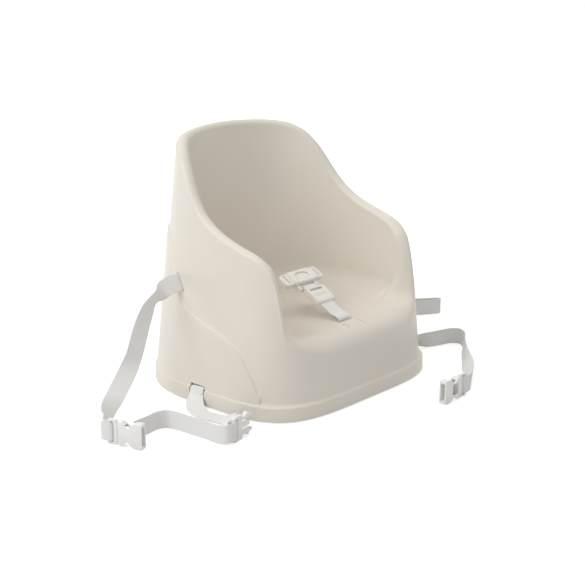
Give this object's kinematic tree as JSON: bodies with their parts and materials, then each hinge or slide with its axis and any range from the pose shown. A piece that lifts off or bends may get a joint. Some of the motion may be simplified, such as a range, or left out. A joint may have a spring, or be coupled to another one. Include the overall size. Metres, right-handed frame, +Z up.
{
  "type": "chair booster seat",
  "caption": "Moulded plastic booster seat for a dining chair, with a high curved back, low arms, webbing chair straps with side-release buckles and a crotch harness.",
  "frame": {"origin": "on the floor, under the middle of the shell's base, level with the undersides of the feet", "axes": "+X to the right seen from the front of the seat, across its width; +Y towards the back rest; +Z up. The sitter looks towards -Y."},
  "size_m": [0.7355, 0.42, 0.353],
  "materials": {
    "shell": "satin moulded polypropylene, warm off-white",
    "foot": "matt grey anti-slip rubber",
    "webbing": "white woven polyester webbing",
    "strap_buckle": "white satin moulded acetal",
    "harness_plastic": "warm white satin moulded acetal",
    "spring": "plain spring wire"
  },
  "bodies": {
    "seat": {"seat_shell": "shell", "foot_front_left": "foot", "foot_front_right": "foot", "foot_back_left": "foot", "foot_back_right": "foot", "upper_strap_inner": "webbing", "lower_strap_inner": "webbing", "upper_strap_left": "webbing", "upper_strap_right": "webbing", "lower_strap_left": "webbing", "lower_strap_right": "webbing", "strap_receiver_left": "strap_buckle", "strap_receiver_right": "strap_buckle", "strap_clip_left": "strap_buckle", "strap_clip_right": "strap_buckle", "crotch_strap_inner": "webbing", "crotch_anchor": "harness_plastic"},
    "harness": {"crotch_strap": "webbing", "harness_buckle_top": "harness_plastic", "harness_buckle_bottom": "harness_plastic", "harness_spring": "spring"},
    "button": {"harness_button": "harness_plastic"},
    "clip_left": {"harness_clip_left": "harness_plastic"},
    "clip_right": {"harness_clip_right": "harness_plastic"},
    "adjuster": {"crotch_adjuster": "harness_plastic"}
  },
  "joints": [
    {"name": "crotch_swing", "type": "hinge", "parent": "seat", "child": "harness", "pos_m": [0, -0.115, 0.103], "axis": [1, 0, 0], "range_deg": [-23, 95]},
    {"name": "button_press", "type": "slide", "parent": "harness", "child": "button", "axis": [0, 0.4679, -0.8838], "range_m": [0, 0.0014], "stiffness_N_per_m": 800, "springref_m": -0.00125, "deforming": ["harness_spring"]},
    {"name": "clip_left_pull", "type": "slide", "parent": "harness", "child": "clip_left", "axis": [-1, 0, 0], "range_m": [0, 0.03]},
    {"name": "clip_right_pull", "type": "slide", "parent": "harness", "child": "clip_right", "axis": [1, 0, 0], "range_m": [0, 0.03]},
    {"name": "adjuster_slide", "type": "slide", "parent": "harness", "child": "adjuster", "axis": [0, -0.8838, -0.4679], "range_m": [0, 0.022]}
  ]
}
